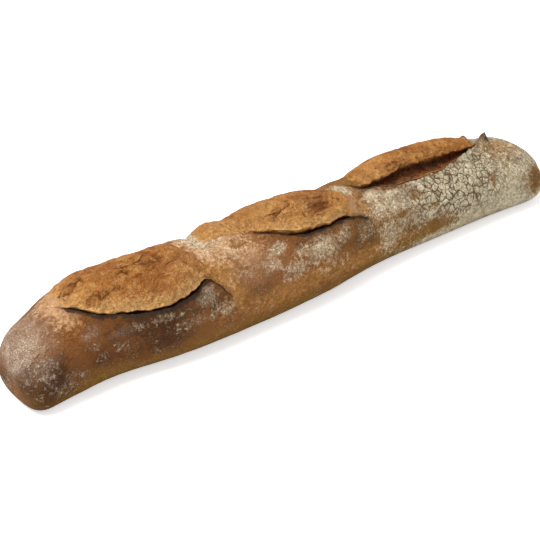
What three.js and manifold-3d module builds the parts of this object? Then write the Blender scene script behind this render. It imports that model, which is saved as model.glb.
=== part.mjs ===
// A rustic baguette: one baked loaf lying on its flat underside.
// Millimetres, +Z up, +X along the loaf, origin at the middle of its footprint.

import * as THREE from 'three';
import { mergeVertices } from 'three/addons/utils/BufferGeometryUtils.js';
import Module from 'manifold-3d';

const wasm = await Module();
wasm.setup();

// Driving dimensions

const loaf = {
  length: 520,
  nearCap: { length: 33, power: 3.2 }, // how far the end at -X takes to round off, and how bluntly
  farCap: { length: 37, power: 1.8 }, // below 2 an end is more pointed than half an ellipse
  crownPower: 2.15, // superellipse of the section above its widest line
  footPower: 2.7, // and below it, where the side turns in to the base
  widestShare: 0.42, // height of the widest line over the crown's height
  pressedFlat: 3, // depth of round underside that the oven floor pressed flat
  rings: 72,
  capRings: 0.12, // share of the rings spent on each rounded end
  segments: 36,
};

// Nine sections at equal steps along X, from the blunt near end to the far end.
const halfWidths = [34, 38.5, 42, 38.5, 40, 38.5, 39, 38, 38];
const crownHeights = [52, 61, 68, 62, 65, 63, 61, 55, 44];
const drifts = [-4, 5, -1, -5, -2, 5, 6, 5, 2];

// Three slashes. The edge angles run round the loaf in degrees, 0 on the crown and positive to
// the front, at equal steps along the cut. The seam is the new crust that rose behind that edge.
const slashes = [
  {
    from: -230, to: -100,
    edgeAngles: [-12, 27, 47, 57, 54, 46],
    seamWidth: 62, seamRise: 9,
    cutWidth: 4, cutDepth: 6,
  },
  {
    from: -101, to: 56,
    edgeAngles: [-10, -4, 16, 35, 41, 50],
    seamWidth: 52, seamRise: 12,
    cutWidth: 5, cutDepth: 6,
  },
  {
    from: 58, to: 212,
    edgeAngles: [8, 23, 29, 25, 11, -3],
    seamWidth: 46, seamRise: 9,
    cutWidth: 9, cutDepth: 6,
  },
];
const seam = {
  radius: 37, // mean radius of the crown, which turns an arc into an angle
  fullness: 0.6, // below 1 the seam swells quickly from its pointed ends
  sectionPower: 2.4, // above 2 its sides are steeper than half an ellipse
  rootDepth: 9, // how far its solid reaches down into the loaf
  rings: 28,
  segments: 24,
};
const cut = { rings: 26, segments: 8 };

// The one hard tip of crust that stands up at the far end of the third slash.
const tip = { x: 206, angle: 2, radius: 5.5, height: 14, sunk: 4, sides: 10 };

const crustColour = 0x9a6335;
const crustRoughness = 0.85;

// Shape of the loaf

const lineThrough = (values) => new THREE.SplineCurve(values.map((value, i) => new THREE.Vector2(i, value)));
const widthLine = lineThrough(halfWidths);
const crownLine = lineThrough(crownHeights);
const driftLine = lineThrough(drifts);
for (const slash of slashes) {
  slash.edgeLine = lineThrough(slash.edgeAngles);
}

const shareAt = (x) => THREE.MathUtils.clamp(x / loaf.length + 0.5, 0, 1);
const signedPower = (value, power) => Math.sign(value) * Math.abs(value) ** power;
const edgeAngle = (slash, share) => THREE.MathUtils.degToRad(slash.edgeLine.getPoint(share).y);

// A point of the first crust, or one lifted off it. The size runs from 0 at a pole to 1 past
// the rounded end.
function crustPoint(x, angle, lift = 0, size = 1) {
  const share = shareAt(x);
  const crown = crownLine.getPoint(share).y;
  const widest = crown * loaf.widestShare;
  const onCrown = Math.cos(angle) >= 0;
  const power = 2 / (onCrown ? loaf.crownPower : loaf.footPower);
  const reach = onCrown ? crown - widest : widest + loaf.pressedFlat;
  const side = widthLine.getPoint(share).y * signedPower(Math.sin(angle), power) * size;
  const up = reach * signedPower(Math.cos(angle), power) * size;
  return new THREE.Vector3(
    x,
    driftLine.getPoint(share).y - side - Math.sin(angle) * lift,
    widest + up + Math.cos(angle) * lift,
  );
}

// Place along X and size of the ring at a share of the way from one pole to the other.
function ringAt(share) {
  const fromEnd = Math.min(share, 1 - share);
  const side = share < 0.5 ? -1 : 1;
  const cap = share < 0.5 ? loaf.nearCap : loaf.farCap;
  const straight = loaf.length / 2 - cap.length;
  if (fromEnd < loaf.capRings) {
    const towardsPole = Math.cos(((fromEnd / loaf.capRings) * Math.PI) / 2);
    const size = (1 - towardsPole ** cap.power) ** (1 / cap.power);
    return { x: side * (straight + cap.length * towardsPole), size };
  }
  return { x: side * straight * ((0.5 - fromEnd) / (0.5 - loaf.capRings)), size: 1 };
}

// A unit sphere with its poles on X, each point moved by a rule of its share and angle.
function reshapedSphere(segments, rings, place) {
  const geometry = new THREE.SphereGeometry(1, segments, rings).rotateZ(-Math.PI / 2);
  const positions = geometry.attributes.position;
  for (let i = 0; i < positions.count; i += 1) {
    const share = 1 - Math.acos(THREE.MathUtils.clamp(positions.getX(i), -1, 1)) / Math.PI;
    const angle = Math.atan2(-positions.getY(i), positions.getZ(i));
    const point = place(share, angle);
    positions.setXYZ(i, point.x, point.y, point.z);
  }
  return geometry;
}

function firstCrust() {
  return reshapedSphere(loaf.segments, loaf.rings, (share, angle) => {
    const ring = ringAt(share);
    return crustPoint(ring.x, angle, 0, ring.size);
  });
}

// The new crust of one slash: a long pillow rooted in the loaf, its front side on the edge.
function risenSeam(slash) {
  const power = 2 / seam.sectionPower;
  return reshapedSphere(seam.segments, seam.rings, (share, angle) => {
    const swell = Math.sin(Math.PI * share) ** seam.fullness;
    const halfWidth = (slash.seamWidth / 2) * swell;
    const across = halfWidth * (signedPower(Math.sin(angle), power) - 1);
    const reach = Math.cos(angle) >= 0 ? slash.seamRise : seam.rootDepth;
    const lift = reach * swell * signedPower(Math.cos(angle), power);
    const x = THREE.MathUtils.lerp(slash.from, slash.to, share);
    return crustPoint(x, edgeAngle(slash, share) + across / seam.radius, lift);
  });
}

// The opening of one slash: a long lens that follows the edge, thin across and deep inwards.
function slashOpening(slash) {
  return reshapedSphere(cut.segments, cut.rings, (share, angle) => {
    const thick = Math.sin(Math.PI * share);
    const across = (Math.sin(angle) * slash.cutWidth * thick) / 2;
    const lift = Math.cos(angle) * slash.cutDepth * thick;
    const x = THREE.MathUtils.lerp(slash.from, slash.to, share);
    return crustPoint(x, edgeAngle(slash, share) + across / seam.radius, lift);
  });
}

function crustTip() {
  const cone = new THREE.ConeGeometry(tip.radius, tip.height, tip.sides).rotateX(Math.PI / 2);
  const foot = crustPoint(tip.x, THREE.MathUtils.degToRad(tip.angle));
  return cone.translate(foot.x, foot.y, foot.z + tip.height / 2 - tip.sunk);
}

// Everything below the oven floor, as a box to cut away.
function ovenFloor() {
  const deep = 40;
  return new THREE.BoxGeometry(2 * loaf.length, loaf.length, deep).translate(0, 0, -deep / 2);
}

// Joining and cutting

function toSolid(geometry) {
  geometry.deleteAttribute('normal');
  geometry.deleteAttribute('uv');
  const merged = mergeVertices(geometry);
  return new wasm.Manifold(new wasm.Mesh({
    numProp: 3,
    vertProperties: Float32Array.from(merged.attributes.position.array),
    triVerts: Uint32Array.from(merged.index.array),
  }));
}

function toGeometry(solid) {
  const mesh = solid.getMesh();
  const geometry = new THREE.BufferGeometry();
  geometry.setAttribute('position', new THREE.BufferAttribute(mesh.vertProperties, 3));
  geometry.setIndex(new THREE.BufferAttribute(mesh.triVerts, 1));
  geometry.computeVertexNormals();
  return geometry;
}

let solid = toSolid(firstCrust());
for (const slash of slashes) {
  solid = solid.add(toSolid(risenSeam(slash)));
}
for (const slash of slashes) {
  solid = solid.subtract(toSolid(slashOpening(slash)));
}
solid = solid.add(toSolid(crustTip())).subtract(toSolid(ovenFloor()));

const geometry = toGeometry(solid);
geometry.computeBoundingBox();
const middle = geometry.boundingBox.getCenter(new THREE.Vector3());
geometry.translate(-middle.x, -middle.y, 0);

const crust = new THREE.MeshStandardMaterial({
  color: crustColour,
  roughness: crustRoughness,
  metalness: 0,
});
const body = new THREE.Mesh(geometry, crust);
body.name = 'loaf';

const baguette = new THREE.Group();
baguette.add(body);

export default baguette;
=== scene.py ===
import math

import bpy
import numpy as np
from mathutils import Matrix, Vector


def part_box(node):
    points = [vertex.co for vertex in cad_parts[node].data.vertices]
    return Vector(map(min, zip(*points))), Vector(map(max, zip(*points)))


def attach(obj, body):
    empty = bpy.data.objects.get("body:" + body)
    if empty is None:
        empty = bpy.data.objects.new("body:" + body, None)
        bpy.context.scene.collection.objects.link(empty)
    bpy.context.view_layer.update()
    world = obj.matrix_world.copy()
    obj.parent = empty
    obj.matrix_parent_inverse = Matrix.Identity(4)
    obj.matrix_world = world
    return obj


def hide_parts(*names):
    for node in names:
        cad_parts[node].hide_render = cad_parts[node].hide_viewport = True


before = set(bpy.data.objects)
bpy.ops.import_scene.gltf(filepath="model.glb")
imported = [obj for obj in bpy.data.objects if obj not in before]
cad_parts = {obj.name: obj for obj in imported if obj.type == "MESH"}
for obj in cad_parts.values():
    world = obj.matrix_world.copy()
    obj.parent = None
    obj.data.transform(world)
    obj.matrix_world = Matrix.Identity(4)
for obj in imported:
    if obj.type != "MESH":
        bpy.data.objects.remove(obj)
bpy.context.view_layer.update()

lowCorner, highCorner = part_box("loaf")
print("frame loaded")

# everything is in metres; angles run round the loaf from its crown, positive to the front
loafShape = {
    "length": highCorner.x - lowCorner.x,
    "halfWidths": [0.034, 0.0385, 0.042, 0.0385, 0.040, 0.0385, 0.039, 0.038, 0.038],
    "crownHeights": [0.052, 0.061, 0.068, 0.062, 0.065, 0.063, 0.061, 0.055, 0.0455],
    "drifts": [-0.004, 0.005, -0.001, -0.005, -0.002, 0.005, 0.006, 0.005, 0.002],
    "capLengths": [0.033, 0.037],
    "capPowers": [3.2, 1.8],
    "capFootPowers": [5.0, 2.5],
    "crownPower": 2.15,
    "footPower": 2.7,
    "widestShare": 0.42,
    "pressedFlat": 0.003,
    "seamRadius": 0.037,
    "rings": 468,
    "segments": 206,
    "capRings": 0.07,
    "stripCuts": [0.36, 0.86],  # where the unwrapped strips part, in shares of the way round
}

# each list runs along its slash in equal steps, from the blunt end of the loaf to the far end
# the darkness of each slash sets how strong the painted shade deep in its opening is
slashes = [
    {
        "from": -0.230,
        "to": -0.095,
        "edgeAngles": [-12, 6, 27, 39, 47, 53, 57, 56, 52, 43, 66],
        "width": 0.062,
        "rise": 0.009,
        "swells": [0, 0.5, 0.92, 1, 0.95, 0.82, 0],
        "band": 0.0026,
        "gapes": [
            0, 0.0009, 0.0018, 0.0015, 0.0015, 0.0016, 0.0018,
            0.0020, 0.0022, 0.0023, 0.0024, 0.0018, 0.0008,
        ],
        "depths": [
            0, 0.0003, 0.0034, 0.004, 0.005, 0.005, 0.005,
            0.005, 0.005, 0.005, 0.005, 0.003, 0.001,
        ],
        "ears": [0, 0.0006, 0.0010, 0.0014, 0.0018, 0.0022, 0.0026, 0.0056, 0.0040],
        "lips": [0, 0.3, 0.3, 0.3, 0.3, 0.3, 0],
        "fronts": [0, 0.5, 1, 1, 1, 1, 0.6],
        "burnt": [0.0024, 0.0028, 0.0032, 0.0034, 0.0030, 0.0024, 0.0014],
        "gapShading": 0.85,
        "paleness": 1.0,
    },
    {
        "from": -0.101,
        "to": 0.056,
        "edgeAngles": [-10, -9, -7, -5, 0, 12, 26, 35, 37, 38, 39, 45, 54],
        "width": 0.053,
        "rise": 0.012,
        "swells": [0, 0.5, 0.85, 1, 1, 0.95, 0.8, 0.36, 0],
        "band": 0.0034,
        "gapes": [0, 0, 0, 0, 0.0002, 0.0012, 0.0012, 0.0036, 0.0026, 0.0030, 0.0024, 0.0012, 0],
        "depths": [0, 0, 0, 0, 0.0004, 0.0034, 0.004, 0.006, 0.0055, 0.0055, 0.005, 0.003, 0],
        "ears": [0, 0, 0, 0, 0.0004, 0.0010, 0.0008, 0.0014, 0.0012, 0.0018, 0.0026, 0.0036, 0.0008],
        "lips": [0, 0, 0, 0.20, 0.38, 0.38, 0.35, 0.35, 0],
        "fronts": [0, 0, 0, 0.45, 1, 1, 1, 1, 0.6],
        "burnt": [0, 0, 0, 0.0012, 0.0014, 0.0015, 0.0014, 0.0022, 0.0010],
        "gapShading": 0.65,
        "paleness": 0.8,
    },
    {
        "from": 0.044,
        "to": 0.212,
        "edgeAngles": [-26, 8, 17, 25, 27, 26, 23.5, 18, 10.5, 3, -3],
        "width": 0.046,
        "rise": 0.009,
        "swells": [0, 0.48, 0.88, 1, 0.95, 0.7, 0],
        "band": 0.0100,
        "gapes": [0, 0.0026, 0.0090, 0.0158, 0.0156, 0.0130, 0.0100, 0.0014, 0],
        "depths": [0, 0.003, 0.005, 0.006, 0.006, 0.006, 0.006, 0.0022, 0],
        "ears": [0, 0.0006, 0.0008, 0.0006, 0.0012, 0.0034, 0],
        "lips": [0, 0.42, 0.42, 0.38, 0.36, 0.3, 0],
        "fronts": [0.3, 1, 1, 1, 1, 1, 0.6],
        "burnt": [0.0008, 0.0007, 0.0004, 0.0003, 0.0003, 0.0004, 0],
        "gapShading": 0.75,
        "paleness": 0.3,
    },
]

# what all the slashes share: how high their seams rise from the front to the back, and in metres how
# far the seam's lip tucks under and how far the ear and the painted shade under it reach down the crust
slashForm = {
    "steepRise": [0, 0.6, 0.84, 0.95, 1, 0.98, 0.88, 0.64, 0.28, 0],
    "gentleRise": [0, 0.12, 0.36, 0.64, 0.86, 0.98, 0.96, 0.72, 0.32, 0],
    "tuck": 0.0012,
    "earReach": 0.0035,
    "shadeReach": 0.009,
    "paleShare": 0.24,
}

# hard tips of crust at the far end of the third slash: x, angle in degrees, radius and height
crustTips = [(0.203, 3, 0.0086, 0.0135), (0.197, -20, 0.0040, 0.0038)]

# low swellings and hollows of the dough: x, angle in degrees, length, arc in degrees and height
swellings = [
    (-0.100, -34, 0.034, 50, 0.0052), (-0.070, -22, 0.034, 44, 0.0080), (0.040, 8, 0.030, 44, 0.0070),
    (-0.206, -12, 0.044, 90, 0.0052), (-0.238, 102, 0.034, 50, -0.0026),
    (0.226, 20, 0.012, 60, -0.0018), (0.150, -8, 0.080, 60, -0.0024),
]

# soft oval areas on the crust, each (x, angle in degrees, length, arc in degrees, strength)
flourSpots = [
    (-0.207, 48, 0.018, 22, 0.5), (-0.205, 64, 0.020, 20, 0.5), (-0.187, 76, 0.030, 24, 0.42),
    (-0.150, 66, 0.090, 16, 0.45), (-0.112, 52, 0.020, 18, 0.7), (-0.116, 62, 0.022, 20, 0.6),
    (-0.100, 78, 0.024, 20, 0.6),
    (-0.128, 78, 0.040, 26, 0.42), (-0.250, 62, 0.030, 60, 0.42), (-0.228, 84, 0.020, 30, 0.4),
    (-0.088, -22, 0.040, 70, 1.0), (-0.150, -58, 0.120, 30, 0.9), (-0.074, 14, 0.050, 40, 0.52),
    (-0.070, 46, 0.050, 36, 0.42), (-0.040, 33, 0.026, 22, 0.78), (-0.052, 48, 0.026, 24, 0.62),
    (-0.034, 64, 0.034, 30, 0.66), (-0.018, 50, 0.034, 26, 0.72), (-0.003, 56, 0.040, 40, 0.86),
    (0.020, 54, 0.030, 24, 0.7),
    (0.003, 80, 0.036, 28, 0.5), (0.040, 7, 0.026, 26, 1.0), (0.066, 46, 0.030, 36, 0.9),
    (0.080, 44, 0.030, 30, 1.0), (0.082, 33, 0.034, 18, 1.0), (0.066, 25, 0.028, 26, 1.0),
    (0.070, 84, 0.030, 70, 0.82), (0.044, 64, 0.024, 34, 0.5), (0.098, 50, 0.070, 48, 0.96),
    (0.115, 74, 0.036, 34, 0.7), (0.086, 70, 0.034, 26, 0.72),
]
# flour that lies over a whole end: distance from the middle where it starts and is full, and its strength
endFlour = {
    "near": (0.212, 0.250, 0.44),
    "far": (0.060, 0.120, 0.96),
}
bareSpots = [
    (0.118, 94, 0.050, 24, 0.85), (0.092, 94, 0.034, 22, 0.75), (0.118, 68, 0.012, 9, 0.5),
    (0.186, 60, 0.012, 22, 0.45), (0.236, 78, 0.030, 46, 0.9), (0.210, 40, 0.034, 26, 0.3),
    (0.216, 10, 0.050, 60, 0.5), (0.086, 62, 0.016, 16, 0.5), (0.104, 46, 0.016, 14, 0.5),
    (0.223, 26, 0.010, 46, 0.35),
]
toastSpots = [
    (-0.160, 66, 0.120, 40, 1.1), (-0.244, 74, 0.050, 66, 1.0), (-0.258, 56, 0.030, 60, 0.8),
    (-0.195, 84, 0.050, 30, 0.6),
    (-0.150, 88, 0.090, 30, 0.7), (-0.066, 64, 0.044, 40, 0.4), (0.026, 64, 0.050, 24, 0.6),
    (0.046, 76, 0.026, 44, 0.6), (0.240, 78, 0.040, 50, 0.35), (0.100, 84, 0.040, 26, 0.5),
    (-0.160, 25, 0.080, 34, 1.0), (-0.196, -12, 0.040, 30, 0.7), (0.180, 4, 0.040, 26, 0.8),
    (-0.020, 42, 0.030, 14, 0.9),
    (-0.256, 106, 0.060, 100, 1.0),
]
ashSpots = [
    (-0.258, -10, 0.050, 120, 1.0), (-0.250, 40, 0.034, 40, 0.15), (-0.206, 48, 0.014, 18, 0.35),
    (-0.182, 64, 0.024, 10, 0.3), (-0.117, 56, 0.018, 20, 0.5), (-0.064, 42, 0.050, 50, 0.28),
]
paleSpots = [
    (-0.214, 0, 0.034, 60, 0.9), (-0.196, 30, 0.030, 20, 0.2), (-0.086, -4, 0.050, 70, 0.9),
    (-0.066, 22, 0.036, 30, 0.6), (-0.122, 20, 0.030, 34, 0.5), (0.044, 14, 0.030, 40, 0.6),
    (0.224, 8, 0.050, 60, 0.6), (-0.064, -14, 0.050, 40, 1.0), (-0.208, 12, 0.036, 24, 0.5),
    (0.088, 8, 0.060, 40, 0.55), (-0.030, -4, 0.060, 40, 0.6), (0.004, 14, 0.060, 50, 0.45),
    (0.034, 34, 0.030, 22, 0.9),
    (0.130, -2, 0.060, 30, 0.25),
]
amberSpots = [
    (-0.094, 34, 0.026, 56, 1.0), (-0.090, 66, 0.022, 40, 0.8), (0.052, 36, 0.012, 24, 0.8),
    (0.042, 30, 0.034, 26, 1.0),
    (-0.030, 86, 0.160, 30, 0.6), (0.040, 92, 0.120, 24, 0.6), (-0.214, 24, 0.020, 30, 0.5),
]
crackleSpots = [
    (0.146, 52, 0.120, 90, 1.0), (0.180, 24, 0.060, 44, 0.8), (0.226, 40, 0.050, 60, 0.45),
    (0.084, 44, 0.060, 30, 0.35), (0.070, 84, 0.030, 60, 0.3), (-0.250, 60, 0.040, 90, 0.35),
    (-0.006, 52, 0.070, 44, 0.35),
]
tearSpots = [
    (-0.202, -2, 0.030, 14, 0.8), (-0.188, 20, 0.050, 16, 0.65), (-0.150, 6, 0.060, 26, 0.85),
    (-0.128, 14, 0.036, 26, 0.5), (-0.020, 4, 0.044, 18, 0.85), (0.010, 14, 0.044, 24, 0.85),
    (0.026, 2, 0.032, 24, 0.65), (0.110, 4, 0.080, 24, 0.5), (0.150, -6, 0.060, 20, 0.5),
]


def lineThrough(values, share):
    line = np.asarray(values, float)
    steps = np.clip(share, 0, 1) * (len(line) - 1)
    at = np.minimum(steps.astype(int), len(line) - 2)
    part = steps - at
    before = line[np.maximum(at - 1, 0)]
    start = line[at]
    end = line[at + 1]
    after = line[np.minimum(at + 2, len(line) - 1)]
    bend = 2 * before - 5 * start + 4 * end - after
    twist = 3 * (start - end) + after - before
    return start + 0.5 * part * (end - before + part * (bend + part * twist))


def wander(x, step, seed):
    # a smooth random line along the loaf, from -1 to 1, with a new value every step
    count = int(loafShape["length"] / step) + 6
    values = np.random.default_rng(seed).uniform(-1, 1, count)
    return lineThrough(values, (x + loafShape["length"] / 2) / loafShape["length"])


def smooth(value, low, high):
    part = np.clip((value - low) / (high - low), 0, 1)
    return part * part * (3 - 2 * part)


def signedPower(value, power):
    return np.sign(value) * np.abs(value) ** power


def spotted(x, angle, spots):
    total = np.zeros_like(x)
    for spotX, spotAngle, length, arc, strength in spots:
        turned = (np.degrees(angle) - spotAngle + 180) % 360 - 180
        reach = np.hypot((x - spotX) / (length / 2), turned / (arc / 2))
        total = np.maximum(total, strength * (1 - smooth(reach, 0.0, 1.7)))
    return total


def swollen(x, angle):
    # the hollows are counted below the swellings, so that both can meet
    raised = spotted(x, angle, [spot for spot in swellings if spot[4] > 0])
    hollows = [(*spot[:4], -spot[4]) for spot in swellings if spot[4] < 0]
    return raised - spotted(x, angle, hollows)


def bothSides(spots):
    # the back of the loaf gets the same spots as its front, a little further along
    return spots + [(min(x + 0.016, 0.226), -angle - 8, length, arc, strength)
                    for x, angle, length, arc, strength in spots if angle > 40]


def firstCrust(x, angle, size):
    shape = loafShape
    share = x / shape["length"] + 0.5
    crown = lineThrough(shape["crownHeights"], share)
    widest = crown * shape["widestShare"]
    above = np.cos(angle) >= 0
    power = 2 / np.where(above, shape["crownPower"], shape["footPower"])
    reach = np.where(above, crown - widest, widest + shape["pressedFlat"])
    side = lineThrough(shape["halfWidths"], share) * signedPower(np.sin(angle), power) * size
    up = reach * signedPower(np.cos(angle), power) * size
    return np.stack([x, lineThrough(shape["drifts"], share) - side, widest + up], -1)


def ringPlaces(count):
    # place along X and size of each ring, with the rings close together where the ends round off
    shape = loafShape
    share = (np.arange(count) + 1) / (count + 1)
    fromEnd = np.minimum(share, 1 - share)
    far = share > 0.5
    side = np.where(far, 1, -1)
    capLength = np.where(far, shape["capLengths"][1], shape["capLengths"][0])
    straight = shape["length"] / 2 - capLength
    towardsPole = np.cos(np.clip(fromEnd / shape["capRings"], 0, 1) * math.pi / 2)
    inCap = fromEnd < shape["capRings"]
    middle = straight * (0.5 - fromEnd) / (0.5 - shape["capRings"])
    x = side * np.where(inCap, straight + capLength * towardsPole, middle)
    return x, np.where(inCap, towardsPole, 0)


def capSize(x, towardsPole, angle):
    # how far the loaf has narrowed towards its poles, its underside later than its crown
    end = np.where(x > 0, 1, 0)
    top = np.array(loafShape["capPowers"])[end]
    foot = np.array(loafShape["capFootPowers"])[end]
    power = top + (foot - top) * smooth(-np.cos(angle), -0.5, 0.6)
    return (1 - towardsPole ** power) ** (1 / power)


def edgeAngle(slash, x):
    share = (x - slash["from"]) / (slash["to"] - slash["from"])
    ragged = 0.5 * wander(x, 0.004, 11) + 0.8 * wander(x, 0.012, 12)
    return np.radians(lineThrough(slash["edgeAngles"], share) + ragged)


def inSlash(slash, x, soften=0.012):
    return smooth(x, slash["from"] - soften, slash["from"] + soften) * (
        1 - smooth(x, slash["to"] - soften, slash["to"] + soften))


def rowAngles(x, count):
    # angles of one ring's points, drawn together round each slash's edge
    fine = np.linspace(-math.pi, math.pi, 1441)
    density = 0.35 + 0.65 * smooth(np.cos(fine), -0.85, -0.55)
    density = np.repeat(density[None], len(x), 0)
    for slash in slashes:
        near = (fine[None] - edgeAngle(slash, x)[:, None]) * loafShape["seamRadius"]
        near = near + slash["band"] / 2
        pull = np.exp(-(near / (slash["band"] * 1.1)) ** 2)
        density += 4.6 * inSlash(slash, x)[:, None] * pull
    total = np.cumsum((density[:, 1:] + density[:, :-1]) / 2, axis=1)
    total = np.concatenate([np.zeros((len(x), 1)), total], 1)
    total /= total[:, -1:]
    wanted = np.arange(count) / count
    return np.stack([np.interp(wanted, row, fine) for row in total])


def along(slash, name, x):
    # one of the slash's lists as a smooth line, and nothing beyond its ends
    share = (x - slash["from"]) / (slash["to"] - slash["from"])
    return np.where((share > 0) & (share < 1), np.maximum(lineThrough(slash[name], share), 0), 0)


def openSlash(slash, x, angle):
    # how far each point moves out and round, and what it becomes
    form = slashForm
    band = slash["band"]
    swell = along(slash, "swells", x)
    depth = along(slash, "depths", x)
    gape = along(slash, "gapes", x)
    ear = along(slash, "ears", x) * (1 + 0.35 * wander(x, 0.003, 21) + 0.3 * wander(x, 0.009, 22))
    rise = slash["rise"] * swell
    lip = rise * along(slash, "lips", x) * (1 + 0.25 * wander(x, 0.005, 23))
    strength = smooth(depth, 0, 0.002)
    burnt = along(slash, "burnt", x) * (1 + 0.5 * wander(x, 0.004, 26) + 0.3 * wander(x, 0.015, 27))
    ragged = (0.0005 + 0.06 * gape) * wander(x, 0.0022, 24) + (0.0006 + 0.07 * gape) * wander(x, 0.007, 25)
    overhang = (band - gape + ragged) * strength
    past = (angle - edgeAngle(slash, x)) * loafShape["seamRadius"]
    here = swell > 0

    # the risen seam, from its front lip to where it meets the first crust again
    width = slash["width"] * swell + band
    back = (-past - band) / np.maximum(width - band, 1e-6)
    onSeam = here & (back >= 0) & (back <= 1)
    steep = lineThrough(form["steepRise"], back)
    gentle = lineThrough(form["gentleRise"], back)
    front = np.clip(along(slash, "fronts", x), 0, 1)
    crest = rise * (gentle + (steep - gentle) * front)
    out = np.where(onSeam, crest + lip * np.clip(1 - back * 5, 0, 1) ** 2, 0)
    around = np.where(onSeam, overhang * np.clip(1 - back * 3, 0, 1) ** 2, 0)

    # through the opening: over the seam's lip, under it, to the bottom and up to the ear
    across = (past + band) / band
    inGap = here & (across > 0) & (across < 1)
    tuck = form["tuck"] * strength
    route = [
        (-gape + ragged, lip),
        (-gape + ragged + 0.4 * tuck, 0.62 * lip),
        (-gape - 0.5 * tuck, -0.25 * depth),
        (-0.92 * gape - tuck, -0.8 * depth),
        (-0.66 * gape, -depth),
        (-0.36 * gape, -0.55 * depth),
        (-0.12 * gape - 0.4 * tuck, 0.1 * ear),
        (0 * gape, ear),
    ]
    steps = np.clip(across, 0, 1) * (len(route) - 1)
    at = np.minimum(steps.astype(int), len(route) - 2)
    places = np.stack([np.stack(np.broadcast_arrays(turned, lifted, x)[:2]) for turned, lifted in route])
    start = np.take_along_axis(places, at[None, None], 0)[0]
    end = np.take_along_axis(places, at[None, None] + 1, 0)[0]
    gapAround, gapOut = start + (end - start) * (steps - at)
    out = np.where(inGap, gapOut, out)
    around = np.where(inGap, (gapAround - past) * strength, around)

    # the ear: the raised edge of the first crust
    onCrust = here & (past >= 0)
    out = np.where(onCrust, ear * np.exp(-past / form["earReach"]), out)

    edge = back + 0.05 * wander(x, 0.004, 31)
    masks = {
        "seam": smooth(swell, 0.1, 0.6) * (1 - smooth(edge, 0.86, 0.98)) * (past < 0) * here,
        "pale": slash["paleness"] * smooth(swell, 0.1, 0.6) * (0.4 + 0.6 * front)
                * np.clip(1 - back / form["paleShare"], 0, 1) * onSeam,
        # painted shade deep in the opening, under the seam's lip
        "gapShade": slash["gapShading"] * strength * smooth(across, 0.08, 0.3)
               * (1 - smooth(across, 0.48, 0.72)) * inGap,
        "wall": strength * smooth(across, 0.2, 0.4) * (1 - 0.7 * smooth(across, 0.8, 1)) * inGap,
        "lip": strength * np.exp(-(past / np.maximum(burnt, 1e-5)) ** 2) * (past > -0.0012),
        # painted shade on the crust under the ear
        "shade": strength * np.exp(-past.clip(0) / form["shadeReach"]) * onCrust,
    }
    return out, around, masks


def shapeCrust(rings, segments):
    # the loaf's outer points, ring by ring, and the masks that its finish reads
    ringX, towardsPole = ringPlaces(rings)
    angle = rowAngles(ringX, segments)
    x = np.repeat(ringX[:, None], segments, 1)
    size = capSize(x, np.repeat(towardsPole[:, None], segments, 1), angle)
    out = np.zeros_like(x)
    around = np.zeros_like(x)
    masks = {}
    for slash in slashes:
        moreOut, moreAround, slashMasks = openSlash(slash, x, angle)
        out += moreOut
        around += moreAround
        for name, values in slashMasks.items():
            masks[name] = np.maximum(masks.get(name, 0), values)

    out += swollen(x, angle)
    for tipX, tipAngle, radius, height in crustTips:
        tipTurn = (angle - math.radians(tipAngle)) * loafShape["seamRadius"]
        tip = np.clip(1 - np.hypot(x - tipX, tipTurn) / radius, 0, 1)
        out += height * tip ** 1.25
        masks["lip"] = np.maximum(masks["lip"], 0.75 * smooth(tip, 0.25, 0.8))

    farStart, farFull, farStrength = endFlour["far"]
    nearStart, nearFull, nearStrength = endFlour["near"]
    farFlour = farStrength * smooth(x, farStart, farFull)
    nearFlour = nearStrength * smooth(-x, nearStart, nearFull)
    nearFlour *= 1 - 0.6 * smooth(np.abs(angle), 0.4, 1.0)
    flour = np.maximum(np.maximum(farFlour, nearFlour), spotted(x, angle, bothSides(flourSpots)))
    masks["flour"] = flour * (1 - spotted(x, angle, bothSides(bareSpots)))
    masks["toast"] = spotted(x, angle, bothSides(toastSpots))
    masks["tears"] = spotted(x, angle, tearSpots)
    masks["pallor"] = spotted(x, angle, paleSpots)
    masks["amber"] = spotted(x, angle, amberSpots)
    masks["ash"] = spotted(x, angle, bothSides(ashSpots))
    masks["crackle"] = spotted(x, angle, bothSides(crackleSpots))

    points = firstCrust(x, angle, size)
    points[..., 1] -= (np.sin(angle) * out + np.cos(angle) * around) * size
    points[..., 2] += (np.cos(angle) * out - np.sin(angle) * around) * size
    points[..., 2] = np.maximum(points[..., 2], 0)
    return points, masks


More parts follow.
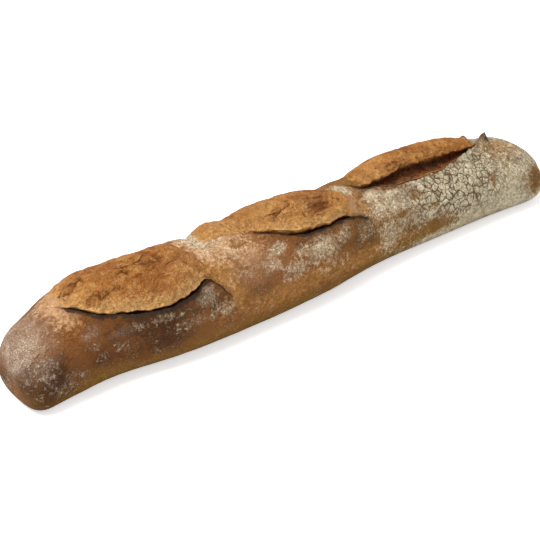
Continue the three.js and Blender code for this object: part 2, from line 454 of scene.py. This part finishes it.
def unwrapStrips(mesh, points):
    # two long strips, one over the crown and the front, one over the back and the underside
    rings, segments = points.shape[:2]
    cuts = [round(segments * share) for share in loafShape["stripCuts"]]
    ringStep = np.linalg.norm(np.diff(points.mean(1), axis=0), axis=1)
    spread = np.linalg.norm(points - points.mean(1, keepdims=True), axis=2).max(1)
    u = np.concatenate([[0], np.cumsum(np.hypot(ringStep, np.diff(spread)))]) + spread[0]
    u = u / (u[-1] + spread[-1])
    stepLength = np.linalg.norm(np.roll(points, -1, axis=1) - points, axis=2)
    arcs = []
    for start, end in zip(cuts, cuts[1:] + [cuts[0] + segments]):
        columns = np.arange(start, end) % segments
        arc = np.cumsum(stepLength[:, columns], axis=1)
        arcs.append(np.concatenate([np.zeros((rings, 1)), arc], 1))
    tallest = sum(arc[:, -1].max() for arc in arcs) * 1.02
    uv = mesh.uv_layers.new(name="OFBake")
    quadUv = np.zeros((rings - 1, segments, 4, 2))
    nearUv, farUv = np.zeros((segments, 3, 2)), np.zeros((segments, 3, 2))
    base = 0
    for start, arc in zip(cuts, arcs):
        count = arc.shape[1] - 1
        column = np.arange(start, start + count) % segments
        v = (arc - arc[:, -1:] / 2 + arc[:, -1].max() / 2) / tallest + base
        corners = [(u[:-1], v[:-1, :-1]), (u[:-1], v[:-1, 1:]), (u[1:], v[1:, 1:]), (u[1:], v[1:, :-1])]
        for corner, (cornerU, cornerV) in enumerate(corners):
            quadUv[:, column, corner, 0] = cornerU[:, None]
            quadUv[:, column, corner, 1] = cornerV
        middle = base + arc[:, -1].max() / tallest / 2
        nearUv[column] = np.stack([
            np.stack([np.full(count, 0.0), np.full(count, middle)], -1),
            np.stack([np.full(count, u[0]), v[0, 1:]], -1),
            np.stack([np.full(count, u[0]), v[0, :-1]], -1)], 1)
        farUv[column] = np.stack([
            np.stack([np.full(count, 1.0), np.full(count, middle)], -1),
            np.stack([np.full(count, u[-1]), v[-1, :-1]], -1),
            np.stack([np.full(count, u[-1]), v[-1, 1:]], -1)], 1)
        base += arc[:, -1].max() / tallest * 1.02
    flat = np.concatenate([quadUv.reshape(-1, 2), nearUv.reshape(-1, 2), farUv.reshape(-1, 2)])
    flat[:, 1] = 1 - flat[:, 1]  # so that the strips aren't mirrored on the outward faces
    uv.data.foreach_set("uv", flat.ravel().astype(np.float32))


def buildLoaf():
    shape = loafShape
    points, masks = shapeCrust(shape["rings"], shape["segments"])
    half = shape["length"] / 2
    poles = np.array([[-half, 0, 0], [half, 0, 0]])
    for pole, share in zip(poles, (0.0, 1.0)):
        pole[1] = lineThrough(shape["drifts"], np.array([share]))[0]
        pole[2] = lineThrough(shape["crownHeights"], np.array([share]))[0] * shape["widestShare"]
    vertices = np.concatenate([points.reshape(-1, 3), poles])
    middle = (vertices[:, 1].max() + vertices[:, 1].min()) / 2
    vertices[:, 1] -= middle

    rings, segments = shape["rings"], shape["segments"]
    index = np.arange(rings * segments).reshape(rings, segments)
    after = np.roll(index, -1, axis=1)
    quads = np.stack([index[:-1], after[:-1], after[1:], index[1:]], -1).reshape(-1, 4)
    nearPole, farPole = rings * segments, rings * segments + 1
    nearFan = np.stack([np.full(segments, nearPole), after[0], index[0]], -1)
    farFan = np.stack([np.full(segments, farPole), index[-1], after[-1]], -1)
    faces = quads.tolist() + nearFan.tolist() + farFan.tolist()

    mesh = bpy.data.meshes.new("loafCrust")
    mesh.from_pydata(vertices.tolist(), [], faces)
    mesh.update()
    mesh.shade_smooth()
    unwrapStrips(mesh, points)
    for name, values in masks.items():
        layer = mesh.attributes.new(name, "FLOAT", "POINT")
        atPoles = [values[0].mean(), values[-1].mean()]
        layer.data.foreach_set("value", np.append(values.ravel(), atPoles).astype(np.float32))
    loaf = bpy.data.objects.new("loafCrust", mesh)
    bpy.context.scene.collection.objects.link(loaf)
    return loaf


loaf = buildLoaf()
print("loaf built:", len(loaf.data.polygons), "faces")


def addNode(tree, kind, inputs=None, **settings):
    made = tree.nodes.new(kind)
    for name, value in settings.items():
        setattr(made, name, value)
    for name, value in (inputs or {}).items():
        socket = made.inputs[name]
        if isinstance(value, bpy.types.NodeSocket):
            tree.links.new(value, socket)
        else:
            socket.default_value = value
    return made


def maths(tree, operation, *values):
    return addNode(tree, "ShaderNodeMath", dict(enumerate(values)), operation=operation).outputs[0]


def fade(tree, value, low, high, start=0.0, end=1.0):
    # smooth step from start to end while the value goes from low to high
    levels = {"Value": value, "From Min": low, "From Max": high, "To Min": start, "To Max": end}
    return addNode(tree, "ShaderNodeMapRange", levels, interpolation_type="SMOOTHSTEP").outputs[0]


def noise(tree, place, scale, detail=2.0, roughness=0.5, distortion=0.0, seed=0.0):
    settings = {"Vector": place, "W": seed, "Scale": scale, "Detail": detail,
                "Roughness": roughness, "Distortion": distortion}
    return addNode(tree, "ShaderNodeTexNoise", settings, noise_dimensions="4D").outputs[0]


def stretched(tree, place, scale):
    return addNode(tree, "ShaderNodeVectorMath", {0: place, 1: scale}, operation="MULTIPLY").outputs[0]


def plateEdges(tree, place, scale, bend, seed):
    # distance from the edge of uneven plates, in shares of a plate
    wobble = addNode(tree, "ShaderNodeTexNoise", {"Vector": place, "W": seed, "Scale": scale,
                                                  "Detail": 4.0}, noise_dimensions="4D").outputs[1]
    shift = stretched(tree, wobble, (bend, bend, bend))
    moved = addNode(tree, "ShaderNodeVectorMath", {0: place, 1: shift}, operation="ADD")
    cells = addNode(tree, "ShaderNodeTexVoronoi", {"Vector": moved.outputs[0], "Scale": scale},
                    feature="DISTANCE_TO_EDGE")
    return cells.outputs["Distance"]


def tearLines(tree, place, scale, seed):
    # 1 along thin wandering lines drawn out along the loaf, falling away to either side
    wave = noise(tree, stretched(tree, place, (0.55, 1.0, 1.0)), scale, 2.5, 0.55, 0.9, seed)
    apart = maths(tree, "SUBTRACT", maths(tree, "MULTIPLY", wave, 2.0), 1.0)
    return maths(tree, "SUBTRACT", 1.0, maths(tree, "ABSOLUTE", apart))


crustRelief = {
    "Lump Height": 0.0007,
    "Lump Scale": 26.0,
    "Wrinkle Height": 0.0005,
    "Wrinkle Scale": 95.0,
    "Craggy Height": 0.0013,
    "Craggy Scale": 165.0,
    "Tear Depth": 0.0018,
    "Tear Scale": 78.0,
    "Plate Height": 0.0006,
    "Plate Scale": 175.0,
    "Seed": 4.0,
}
plateBend = 0.006  # how far the plates' edges wander


def reliefTree(material):
    # moves the surface out and in, and keeps the tears and the hollows for the finish to read
    tree = bpy.data.node_groups.new("crustRelief", "GeometryNodeTree")
    tree.interface.new_socket("Geometry", in_out="INPUT", socket_type="NodeSocketGeometry")
    tree.interface.new_socket("Geometry", in_out="OUTPUT", socket_type="NodeSocketGeometry")
    for name, value in crustRelief.items():
        tree.interface.new_socket(name, in_out="INPUT", socket_type="NodeSocketFloat").default_value = value
    given = tree.nodes.new("NodeGroupInput").outputs
    place = tree.nodes.new("GeometryNodeInputPosition").outputs[0]
    normal = tree.nodes.new("GeometryNodeInputNormal").outputs[0]

    def mask(name):
        read = addNode(tree, "GeometryNodeInputNamedAttribute", {"Name": name}, data_type="FLOAT")
        return read.outputs[0]

    def swing(scale, height, detail):
        centred = maths(tree, "SUBTRACT", noise(tree, place, scale, detail, 0.55, 0.0, given["Seed"]), 0.5)
        return maths(tree, "MULTIPLY", maths(tree, "MULTIPLY", centred, 2.0), height)

    seam = mask("seam")
    lumps = swing(given["Lump Scale"], given["Lump Height"], 1.0)
    wrinkles = swing(given["Wrinkle Scale"], given["Wrinkle Height"], 3.0)
    rough = swing(given["Craggy Scale"], 1.0, 4.0)
    craggy = maths(tree, "MULTIPLY", maths(tree, "MULTIPLY", rough, given["Craggy Height"]), seam)

    # torn lines in the new crust, gathered in a few places
    ridge = tearLines(tree, place, given["Tear Scale"], given["Seed"])
    few = fade(tree, noise(tree, place, 60.0, 2.0, 0.5, 0.0, given["Seed"]), 0.5, 0.66, 0.0, 0.5)
    where = maths(tree, "MULTIPLY", maths(tree, "MAXIMUM", mask("tears"), few), seam)
    tear = maths(tree, "MULTIPLY", fade(tree, ridge, 0.84, 0.97), where)
    torn = maths(tree, "MULTIPLY", tear, maths(tree, "MULTIPLY", given["Tear Depth"], -1.0))

    edges = plateEdges(tree, place, given["Plate Scale"], plateBend, given["Seed"])
    plates = maths(tree, "MULTIPLY", fade(tree, edges, 0.02, 0.2, -1.0, 0.3), given["Plate Height"])
    floury = maths(tree, "MULTIPLY", mask("crackle"), maths(tree, "SUBTRACT", 1.0, seam))
    plates = maths(tree, "MULTIPLY", plates, floury)

    total = lumps
    for part in (wrinkles, craggy, torn, plates):
        total = maths(tree, "ADD", total, part)
    height = addNode(tree, "ShaderNodeSeparateXYZ", {0: place}).outputs["Z"]
    total = maths(tree, "MULTIPLY", total, fade(tree, height, 0.0004, 0.008))
    total = maths(tree, "MULTIPLY", total, fade(tree, mask("gapShade"), 0.0, 1.0, 1.0, 0.3))
    offset = addNode(tree, "ShaderNodeVectorMath", {0: normal, "Scale": total}, operation="SCALE")

    stored = addNode(tree, "GeometryNodeStoreNamedAttribute",
                     {"Geometry": given["Geometry"], "Name": "tear", "Value": tear}, data_type="FLOAT")
    hollows = addNode(tree, "GeometryNodeStoreNamedAttribute",
                      {"Geometry": stored.outputs[0], "Name": "hollow", "Value": rough}, data_type="FLOAT")
    moved = addNode(tree, "GeometryNodeSetPosition",
                    {"Geometry": hollows.outputs[0], "Offset": offset.outputs[0]})
    real = addNode(tree, "GeometryNodeRealizeInstances", {"Geometry": moved.outputs[0]})
    painted = addNode(tree, "GeometryNodeSetMaterial", {"Geometry": real.outputs[0], "Material": material})
    addNode(tree, "NodeGroupOutput", {"Geometry": painted.outputs[0]})
    return tree


def applyRelief(loaf, material):
    modifier = loaf.modifiers.new("crustRelief", "NODES")
    modifier.node_group = reliefTree(material)
    for item in modifier.node_group.interface.items_tree:
        if item.in_out == "INPUT" and item.name in crustRelief:
            modifier[item.identifier] = crustRelief[item.name]
    evaluated = loaf.evaluated_get(bpy.context.evaluated_depsgraph_get())
    mesh = bpy.data.meshes.new_from_object(evaluated)
    loaf.modifiers.remove(modifier)
    loaf.data = mesh
    mesh.name = "loafCrust"


crustColours = {
    "golden": (0.38, 0.160, 0.045, 1),
    "reddish": (0.25, 0.080, 0.021, 1),
    "toasted": (0.082, 0.031, 0.009, 1),
    "oven": (0.27, 0.142, 0.022, 1),
    "russet": (0.20, 0.066, 0.015, 1),
    "palest": (0.62, 0.34, 0.165, 1),
    "flour": (0.90, 0.80, 0.56, 1),
    "midFlour": (0.92, 0.75, 0.51, 1),
    "nearFlour": (0.72, 0.62, 0.49, 1),
    "crackle": (0.12, 0.058, 0.020, 1),
    "amber": (0.46, 0.205, 0.050, 1),
    "ash": (0.60, 0.46, 0.34, 1),
    "speck": (0.50, 0.34, 0.19, 1),
    "seam": (0.68, 0.305, 0.078, 1),
    "seamDark": (0.30, 0.096, 0.020, 1),
    "seamPale": (0.70, 0.385, 0.140, 1),
    # painted shade in the tear lines and pits
    "tear": (0.165, 0.052, 0.011, 1),
    # painted shade deep in the openings
    "gapShade": (0.070, 0.020, 0.006, 1),
    "wall": (0.30, 0.100, 0.028, 1),
    "burnt": (0.056, 0.033, 0.019, 1),
}

# sizes of the patches in the finish, as scales of their noise, and how the crust takes the light
crustFinish = {
    "broad": 30.0,
    "middle": 110.0,
    "small": 330.0,
    "grain": 850.0,
    "pits": 260.0,
    "finePlates": 520.0,
    "finePlateBend": 0.0018,
    "bareRoughness": 0.66,
    "flouryRoughness": 0.96,
    "specular": 0.12,
    "bumpHeight": 0.0022,
}


def paintCrust():
    finish = crustFinish
    paint = bpy.data.materials.new("bakedCrust")
    paint.use_nodes = True
    tree = paint.node_tree
    bsdf = tree.nodes["Principled BSDF"]
    place = tree.nodes.new("ShaderNodeTexCoord").outputs["Object"]
    apart = addNode(tree, "ShaderNodeSeparateXYZ", {0: place})
    lengthwise, height = apart.outputs["X"], apart.outputs["Z"]

    def mask(name):
        return addNode(tree, "ShaderNodeAttribute", attribute_name=name).outputs["Fac"]

    def blend(share, under, over):
        mixed = tree.nodes.new("ShaderNodeMix")
        mixed.data_type = "RGBA"
        for socket, value in ((mixed.inputs[0], share), (mixed.inputs[6], under), (mixed.inputs[7], over)):
            if isinstance(value, str):
                socket.default_value = crustColours[value]
            elif isinstance(value, bpy.types.NodeSocket):
                tree.links.new(value, socket)
            else:
                socket.default_value = value
        return mixed.outputs[2]

    def times(*values):
        total = values[0]
        for value in values[1:]:
            total = maths(tree, "MULTIPLY", total, value)
        return total

    def plus(*values):
        total = values[0]
        for value in values[1:]:
            total = maths(tree, "ADD", total, value)
        return total

    def cloud(scale, detail=3.0, roughness=0.55, distortion=0.0, seed=0.0, where=place):
        # noise spread over the whole range from 0 to 1
        return fade(tree, noise(tree, where, scale, detail, roughness, distortion, seed), 0.28, 0.72)

    broad = cloud(finish["broad"], 3.0, 0.55, 0.3)
    middle = cloud(finish["middle"], 4.0, 0.6, 0.5, 3.0)
    small = cloud(finish["small"], 4.0, 0.65, 0.3, 5.0)
    grain = cloud(finish["grain"], 3.0, 0.6, 0.0, 8.0)
    seam, flour, tear = mask("seam"), mask("flour"), mask("tear")
    crusty = maths(tree, "SUBTRACT", 1.0, seam)

    # the first crust, under its flour
    colour = blend(plus(times(broad, 0.7), times(small, 0.3)), "golden", "reddish")
    colour = blend(fade(tree, lengthwise, -0.02, 0.08, 0.0, 0.6), colour, "oven")
    colour = blend(fade(tree, lengthwise, -0.10, -0.16, 0.0, 0.6), colour, "russet")
    toast = plus(mask("toast"), times(broad, 0.5), times(middle, 0.7), times(small, 0.7), -0.9)
    colour = blend(fade(tree, toast, 0.1, 1.1), colour, "toasted")
    low = plus(height, times(broad, 0.014), times(small, 0.005))
    foot = times(fade(tree, low, 0.012, 0.040, 0.95, 0.0), fade(tree, lengthwise, -0.252, -0.225, 0.3, 1.0))
    colour = blend(foot, colour, "oven")
    colour = blend(fade(tree, plus(mask("amber"), times(small, 0.4), -0.2), 0.1, 0.7), colour, "amber")
    colour = blend(fade(tree, low, 0.005, 0.010, 0.4, 0.0), colour, "toasted")
    pallor = plus(mask("pallor"), times(small, 0.4), times(middle, 0.3), -0.35)
    colour = blend(fade(tree, pallor, 0.1, 0.8), colour, "palest")

    # flour lies thick in places, thin in others and in specks between them
    cover = plus(times(broad, 0.20), times(middle, 0.30), times(small, 0.32), times(grain, 0.18))
    amount = plus(cover, times(flour, 0.85), -0.52)
    dusted = fade(tree, amount, 0.16, 0.62)
    plates = plateEdges(tree, place, crustRelief["Plate Scale"], plateBend, crustRelief["Seed"])
    finePlates = plateEdges(tree, place, finish["finePlates"], finish["finePlateBend"], 6.0)
    wide = fade(tree, middle, 0.1, 0.9, 0.03, 0.20)
    coarse = times(maths(tree, "SUBTRACT", 1.0, maths(tree, "DIVIDE", plates, wide)), mask("crackle"))
    fine = times(fade(tree, finePlates, 0.02, 0.18, 0.8, 0.0), fade(tree, middle, 0.2, 0.8, 0.1, 0.9))
    lines = maths(tree, "MAXIMUM", fade(tree, coarse, 0.0, 0.6), times(fine, fade(tree, flour, 0.3, 0.6)))
    white = blend(fade(tree, lengthwise, 0.05, 0.12), "midFlour", "flour")
    white = blend(fade(tree, lengthwise, -0.225, -0.19), "nearFlour", white)
    worn = fade(tree, plus(times(small, 0.5), times(grain, 0.5)), 0.25, 0.8, 0.6, 0.0)
    white = blend(times(worn, fade(tree, flour, 0.7, 0.95, 1.0, 0.4)), white, "golden")
    white = blend(times(lines, 0.9), white, "crackle")
    thick = fade(tree, flour, 0.35, 0.85, 0.55, 0.97)
    colour = blend(times(dusted, thick, fade(tree, height, 0.001, 0.012, 0.3, 1.0)), colour, white)
    specks = times(fade(tree, grain, 0.5, 0.9), fade(tree, middle, 0.3, 0.8),
                   fade(tree, broad, 0.2, 0.8), 0.5)
    colour = blend(times(specks, fade(tree, mask("toast"), 0.2, 0.8, 1.0, 0.35)), colour, "speck")
    film = fade(tree, plus(times(middle, 0.5), times(small, 0.5)), 0.1, 0.8, 0.45, 0.95)
    film = times(mask("ash"), film)
    cracks = times(fade(tree, finePlates, 0.02, 0.2, 0.9, 0.0), fade(tree, small, 0.1, 0.8))
    ashen = blend(cracks, "ash", "toasted")
    colour = blend(film, colour, ashen)

    # the new crust, palest where it tore away last
    fibres = cloud(1.0, 3.0, 0.6, 0.2, 0.0, stretched(tree, place, (620.0, 110.0, 110.0)))
    hollow = mask("hollow")
    patchy = plus(times(broad, 0.5), times(middle, 0.45), times(small, 0.4))
    fresh = blend(fade(tree, patchy, 0.25, 1.1), "seam", "seamDark")
    fresh = blend(times(mask("toast"), 0.75), fresh, "seamDark")
    fresh = blend(times(mask("pallor"), fade(tree, small, 0.0, 1.0, 0.35, 0.85)), fresh, "seamPale")
    # painted shade in the new crust's craggy hollows and painted highlight on its raised tops
    fresh = blend(fade(tree, hollow, -0.05, -0.4, 0.0, 0.6), fresh, "seamDark")
    fresh = blend(fade(tree, plus(hollow, times(grain, 0.3)), 0.12, 0.5, 0.0, 0.5), fresh, "seamPale")
    pale = times(mask("pale"), fade(tree, plus(times(fibres, 0.4), times(small, 0.6)), 0.2, 0.8, 0.6, 1.15))
    fresh = blend(fade(tree, pale, 0.15, 0.85), fresh, "seamPale")
    # painted shade along the grooves of the tears
    fresh = blend(fade(tree, tear, 0.15, 0.75, 0.0, 0.7), fresh, "seamDark")
    # painted shade in the thin tear lines and pits of the new crust
    torn = plus(mask("tears"), times(small, 0.5), times(middle, 0.5), -0.62)
    split = fade(tree, tearLines(tree, place, crustRelief["Tear Scale"], crustRelief["Seed"]), 0.87, 0.985)
    pits = fade(tree, tearLines(tree, place, finish["pits"], 7.0), 0.90, 0.98)
    split = maths(tree, "MAXIMUM", times(split, fade(tree, torn, 0.15, 0.6)),
                  times(pits, fade(tree, torn, 0.3, 0.9, 0.12, 0.9)))
    fresh = blend(split, fresh, "tear")
    colour = blend(fade(tree, plus(seam, times(small, 0.5), -0.25), 0.3, 0.7), colour, fresh)

    # painted shade under the ears, the openings' insides with painted shade deep in them, and the burnt
    # edges
    # painted shade on the crust under the ears, fainter where flour lies thick
    shade = times(mask("shade"), fade(tree, middle, 0.0, 1.0, 0.4, 0.9),
                  fade(tree, flour, 0.5, 0.9, 1.0, 0.2))
    colour = blend(shade, colour, "toasted")
    inside = blend(fade(tree, plus(times(middle, 0.6), times(small, 0.4)), 0.2, 0.7), "burnt", "wall")
    colour = blend(mask("wall"), colour, inside)
    # painted shade deep in the openings, under the seams' lips
    colour = blend(times(mask("gapShade"), fade(tree, middle, 0.0, 0.6, 0.7, 1.0)), colour, "gapShade")
    lip = times(mask("lip"), fade(tree, small, 0.0, 1.0, 0.5, 1.5))
    colour = blend(fade(tree, lip, 0.25, 0.7, 0.0, 0.95), colour, "burnt")

    uneven = plus(times(small, 0.54), times(grain, 0.36), times(middle, 0.24), 0.70)
    shaded = addNode(tree, "ShaderNodeVectorMath", {0: colour, "Scale": uneven}, operation="SCALE")
    tree.links.new(shaded.outputs[0], bsdf.inputs["Base Color"])
    dull = fade(tree, dusted, 0.0, 1.0, finish["bareRoughness"], finish["flouryRoughness"])
    tree.links.new(dull, bsdf.inputs["Roughness"])
    bsdf.inputs["Specular IOR Level"].default_value = finish["specular"]

    bumps = plus(times(small, 1.0), times(grain, 0.5), times(fibres, seam, 0.25), times(middle, seam, 1.6))
    bumps = maths(tree, "SUBTRACT", bumps, times(lines, dusted, crusty, 0.5))
    bumps = maths(tree, "SUBTRACT", bumps, times(split, seam, 1.2))
    bump = addNode(tree, "ShaderNodeBump",
                   {"Strength": 1.0, "Distance": finish["bumpHeight"], "Height": bumps})
    tree.links.new(bump.outputs[0], bsdf.inputs["Normal"])
    return paint


applyRelief(loaf, paintCrust())
print("relief and finish done")

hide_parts("loaf")
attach(loaf, "root")

# floor, light and camera
studio = {
    "floorReach": 4,
    "floorShade": 0.9,
    "floorGlow": 0.55,
    "skyStrength": 0.6,
    "keyPlace": (-0.6, 0.2, 1.2),
    "keyAim": (0, 0, 0.03),
    "keySize": 0.8,
    "keyWatts": 18,
}
viewpoint = {
    "turn": -38,
    "lift": 32,
    "distance": 1.3,
    "lens": 112.7,
    "sensorWidth": 36,
    "aim": (-0.0371, -0.0138, 0.0308),
}


def layFloor():
    reach, shade = studio["floorReach"], studio["floorShade"]
    mesh = bpy.data.meshes.new("floor")
    corners = [(-reach, -reach, 0), (reach, -reach, 0), (reach, reach, 0), (-reach, reach, 0)]
    mesh.from_pydata(corners, [], [(0, 1, 2, 3)])
    floor = bpy.data.objects.new("floor", mesh)
    bpy.context.scene.collection.objects.link(floor)
    paint = bpy.data.materials.new("paleFloor")
    paint.use_nodes = True
    tree = paint.node_tree
    bsdf = tree.nodes["Principled BSDF"]
    bsdf.inputs["Base Color"].default_value = (shade, shade, shade, 1)
    bsdf.inputs["Roughness"].default_value = 0.9
    bsdf.inputs["Specular IOR Level"].default_value = 0.0
    bsdf.inputs["Emission Color"].default_value = (1, 1, 1, 1)
    seen = tree.nodes.new("ShaderNodeLightPath").outputs["Is Camera Ray"]
    tree.links.new(maths(tree, "MULTIPLY", seen, studio["floorGlow"]), bsdf.inputs["Emission Strength"])
    mesh.materials.append(paint)
    return floor


def lightScene():
    world = bpy.data.worlds.new("studio")
    world.use_nodes = True
    world.node_tree.nodes["Background"].inputs["Color"].default_value = (1, 1, 1, 1)
    world.node_tree.nodes["Background"].inputs["Strength"].default_value = studio["skyStrength"]
    bpy.context.scene.world = world
    lamp = bpy.data.lights.new("key", "AREA")
    lamp.size = studio["keySize"]
    lamp.energy = studio["keyWatts"]
    key = bpy.data.objects.new("key", lamp)
    key.location = studio["keyPlace"]
    beam = Vector(studio["keyAim"]) - Vector(studio["keyPlace"])
    key.rotation_euler = beam.to_track_quat("-Z", "Y").to_euler()
    bpy.context.scene.collection.objects.link(key)


def placeCamera():
    turn, lift = math.radians(viewpoint["turn"]), math.radians(viewpoint["lift"])
    back = Vector((math.sin(turn) * math.cos(lift), -math.cos(turn) * math.cos(lift), math.sin(lift)))
    camera = bpy.data.objects.new("camera", bpy.data.cameras.new("camera"))
    camera.data.lens = viewpoint["lens"]
    camera.data.sensor_width = viewpoint["sensorWidth"]
    camera.location = Vector(viewpoint["aim"]) + back * viewpoint["distance"]
    camera.rotation_euler = back.to_track_quat("Z", "Y").to_euler()
    bpy.context.scene.collection.objects.link(camera)
    bpy.context.scene.camera = camera
    bpy.context.scene.view_settings.view_transform = "Standard"


layFloor()
lightScene()
placeCamera()
print("floor, light and camera set")
